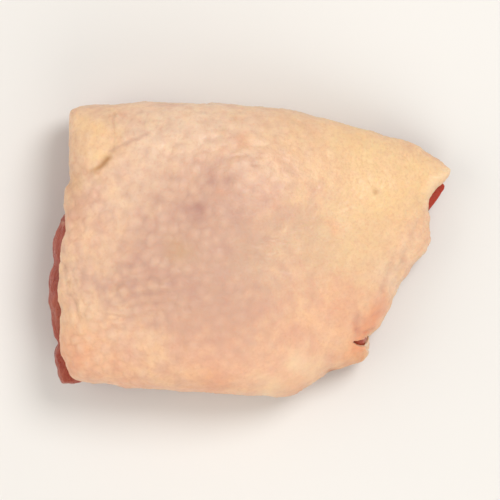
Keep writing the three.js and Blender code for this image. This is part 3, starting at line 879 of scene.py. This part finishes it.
def meat_material():
    material, tree, shader = new_material("raw_dark_meat")
    tone, grain = mottle(tree, 9 * MM)
    place = add(tree, "ShaderNodeAttribute", attribute_name="fibre_place").outputs["Vector"]
    drawn = add(tree, "ShaderNodeVectorMath", {0: place, 1: (0.12, 1, 1)}, operation="MULTIPLY")
    inputs = {"Vector": drawn.outputs[0], "Scale": 1 / (0.55 * MM), "Detail": 3, "Roughness": 0.6}
    threads = add(tree, "ShaderNodeTexNoise", inputs).outputs["Fac"]
    colour = blend(tree, tone, linear(134, 46, 35), linear(168, 71, 54))
    # The cut end is a darker red: partly its own wet cut face, partly painted shade.
    colour = tint(tree, colour, "cut", 0.5, (150, 54, 32))
    light_thread = spread(tree, threads, 0.45, 0.7, to_high=0.45)
    colour = blend(tree, light_thread, colour, linear(202, 110, 80))
    colour = tint(tree, colour, "film", 0.25, (202, 126, 98))
    colour = tint(tree, colour, "dark", 1, (168, 56, 36))
    # Painted light in the tear, over the meat's own darker red-brown.
    colour = tint(tree, colour, "lit_tear_meat", 1, (186, 82, 54))
    colour = tint(tree, colour, "seams", 0.7, (224, 176, 146))
    fat_share = add(tree, "ShaderNodeAttribute", attribute_name="fat").outputs["Fac"]
    soft_fat = blend(tree, grain, linear(228, 168, 136), linear(248, 226, 190))
    colour = blend(tree, fat_share, colour, soft_fat)
    roughness = spread(tree, grain, 0.3, 0.7, 0.24, 0.42)
    dress(tree, shader, colour, roughness, threads, bump_depth=0.3 * MM, bump_strength=0.6)
    let_light_in(shader, weight=0.3, radius=(1, 0.25, 0.16), reach=2 * MM)
    shader.inputs["Specular IOR Level"].default_value = 0.4
    return material


meat_bm = meat_block()
meat_mask_values, fibre_values = shape_meat(meat_bm)
meat = finish_piece("thigh_meat", meat_bm, meat_mask_values, meat_material(), "meat")
fibre_attribute = meat.data.attributes.new("fibre_place", "FLOAT_VECTOR", "POINT")
fibre_attribute.data.foreach_set("vector", fibre_values.astype(np.float32).ravel())

# The fat
# Small soft lumps of pale yellow fat, run together. They lie under the skin's raised edge at the cut end
# and under the tucked edge of the thin end, and cling to the skin and the meat.

LUMP_SIZE = (0.6, 1.7)
LUMP_STRETCH = (0.7, 1.35)  # its width along each axis, as a share of its size
# Where the lumps lie round the edge, from and to, and how many there are.
LUMP_RUNS = ((3.1, 3.34, 40), (3.42, 3.5, 12), (3.58, 3.84, 38), (1.32, 1.5, 14), (1.72, 1.86, 12))
LUMP_RINGS = (0.972, 1.006)  # how near they lie to the skin's edge, which is ring 1
LUMP_DEPTH = (1.5, 2.6)  # under the skin's outer face
LUMP_FLOOR_GAP = 0.15
LUMP_VOXEL = 0.45 * MM


def fat_lump(bm, place, size, chance):
    """One lump, a ball pulled out one way and dented."""
    lump = bmesh.ops.create_icosphere(bm, subdivisions=3, radius=1)["verts"]
    stretch = Vector(chance.uniform(*LUMP_STRETCH, 3)) * size
    offset = Vector(chance.uniform(0, 50, 3))
    for vert in lump:
        dent = 1 + 0.35 * noise.noise(vert.co * 1.4 + offset) + 0.15 * noise.noise(vert.co * 4 + offset)
        vert.co = Vector(place) + Vector(a * b for a, b in zip(vert.co * dent, stretch))
        vert.co.z = max(vert.co.z, LUMP_FLOOR_GAP)


def fat_mesh():
    bm = bmesh.new()
    chance = np.random.default_rng(3)
    small, large = LUMP_SIZE
    for first, last, count in LUMP_RUNS:
        q = chance.uniform(first, last, count)
        sizes = small + (large - small) * chance.uniform(size=count) ** 2
        # A large lump lies deeper, so that none comes through the skin.
        depth = np.maximum(chance.uniform(*LUMP_DEPTH, count), 1.25 * sizes + 0.6)
        places = under_face(q, chance.uniform(*LUMP_RINGS, count), depth, edge_point(q))
        for place, size in zip(places, sizes):
            fat_lump(bm, place, size, chance)
    bmesh.ops.scale(bm, verts=bm.verts, vec=(MM, MM, MM))
    return bm


def fat_material():
    material, tree, shader = new_material("pale_fat")
    tone, grain = mottle(tree, 3 * MM)
    colour = blend(tree, tone, linear(236, 200, 160), linear(246, 222, 188))
    pink = spread(tree, grain, 0.5, 0.75, to_high=0.35)
    colour = blend(tree, pink, colour, linear(226, 160, 130))
    roughness = spread(tree, grain, 0.3, 0.7, 0.3, 0.45)
    dress(tree, shader, colour, roughness, grain, bump_depth=0.15 * MM, bump_strength=0.5)
    let_light_in(shader, weight=0.4, radius=(1, 0.6, 0.3), reach=2 * MM)
    return material


fat = finish_piece("thigh_fat", fat_mesh(), {}, fat_material(), None)
melt = fat.modifiers.new("run_together", "REMESH")
melt.mode = "VOXEL"
melt.voxel_size = LUMP_VOXEL
melt.use_smooth_shade = True
soften = fat.modifiers.new("soften", "SMOOTH")
soften.factor = 0.5
soften.iterations = 14

# The studio
# A plain pale floor under a large soft light from the far right, with two weaker fills, and a camera
# straight above.

FLOOR_SIZE = 3
CAMERA_HEIGHT = 0.9
VIEW_WIDTH = 0.136
SENSOR_WIDTH = 36  # millimetres, as Blender gives it


def make_floor():
    bm = bmesh.new()
    bmesh.ops.create_grid(bm, x_segments=1, y_segments=1, size=FLOOR_SIZE / 2)
    mesh = bpy.data.meshes.new("floor")
    bm.to_mesh(mesh)
    bm.free()
    material, _, shader = new_material("pale_floor")
    shader.inputs["Base Color"].default_value = (0.82, 0.81, 0.79, 1)
    shader.inputs["Roughness"].default_value = 0.7
    mesh.materials.append(material)
    floor = bpy.data.objects.new("floor", mesh)
    bpy.context.scene.collection.objects.link(floor)


def add_light(name, place, size, power, colour):
    light = bpy.data.lights.new(name, "AREA")
    light.shape = "DISK"
    light.size = size
    light.energy = power
    light.color = colour
    lamp = bpy.data.objects.new(name, light)
    lamp.location = place
    lamp.rotation_euler = (-Vector(place)).to_track_quat("-Z", "Y").to_euler()
    bpy.context.scene.collection.objects.link(lamp)


def add_camera():
    data = bpy.data.cameras.new("camera")
    data.sensor_width = SENSOR_WIDTH
    data.lens = SENSOR_WIDTH * CAMERA_HEIGHT / VIEW_WIDTH
    data.clip_start = 0.01
    camera = bpy.data.objects.new("camera", data)
    camera.location = (0, 0, CAMERA_HEIGHT)
    bpy.context.scene.collection.objects.link(camera)
    bpy.context.scene.camera = camera


def light_world():
    world = bpy.data.worlds.new("studio")
    world.use_nodes = True
    background = world.node_tree.nodes["Background"]
    background.inputs["Color"].default_value = (0.97, 0.94, 0.9, 1)
    background.inputs["Strength"].default_value = 0.45
    bpy.context.scene.world = world


make_floor()
add_light("key", (0.34, 0.32, 0.73), size=0.38, power=3.6, colour=(1, 0.98, 0.96))
add_light("near_fill", (0.25, -0.6, 0.45), size=0.7, power=2.1, colour=(1, 0.96, 0.9))
add_light("cut_end_fill", (-0.6, 0, 0.42), size=0.7, power=1.9, colour=(1, 0.95, 0.89))
add_camera()
light_world()
bpy.context.scene.view_settings.view_transform = "Standard"
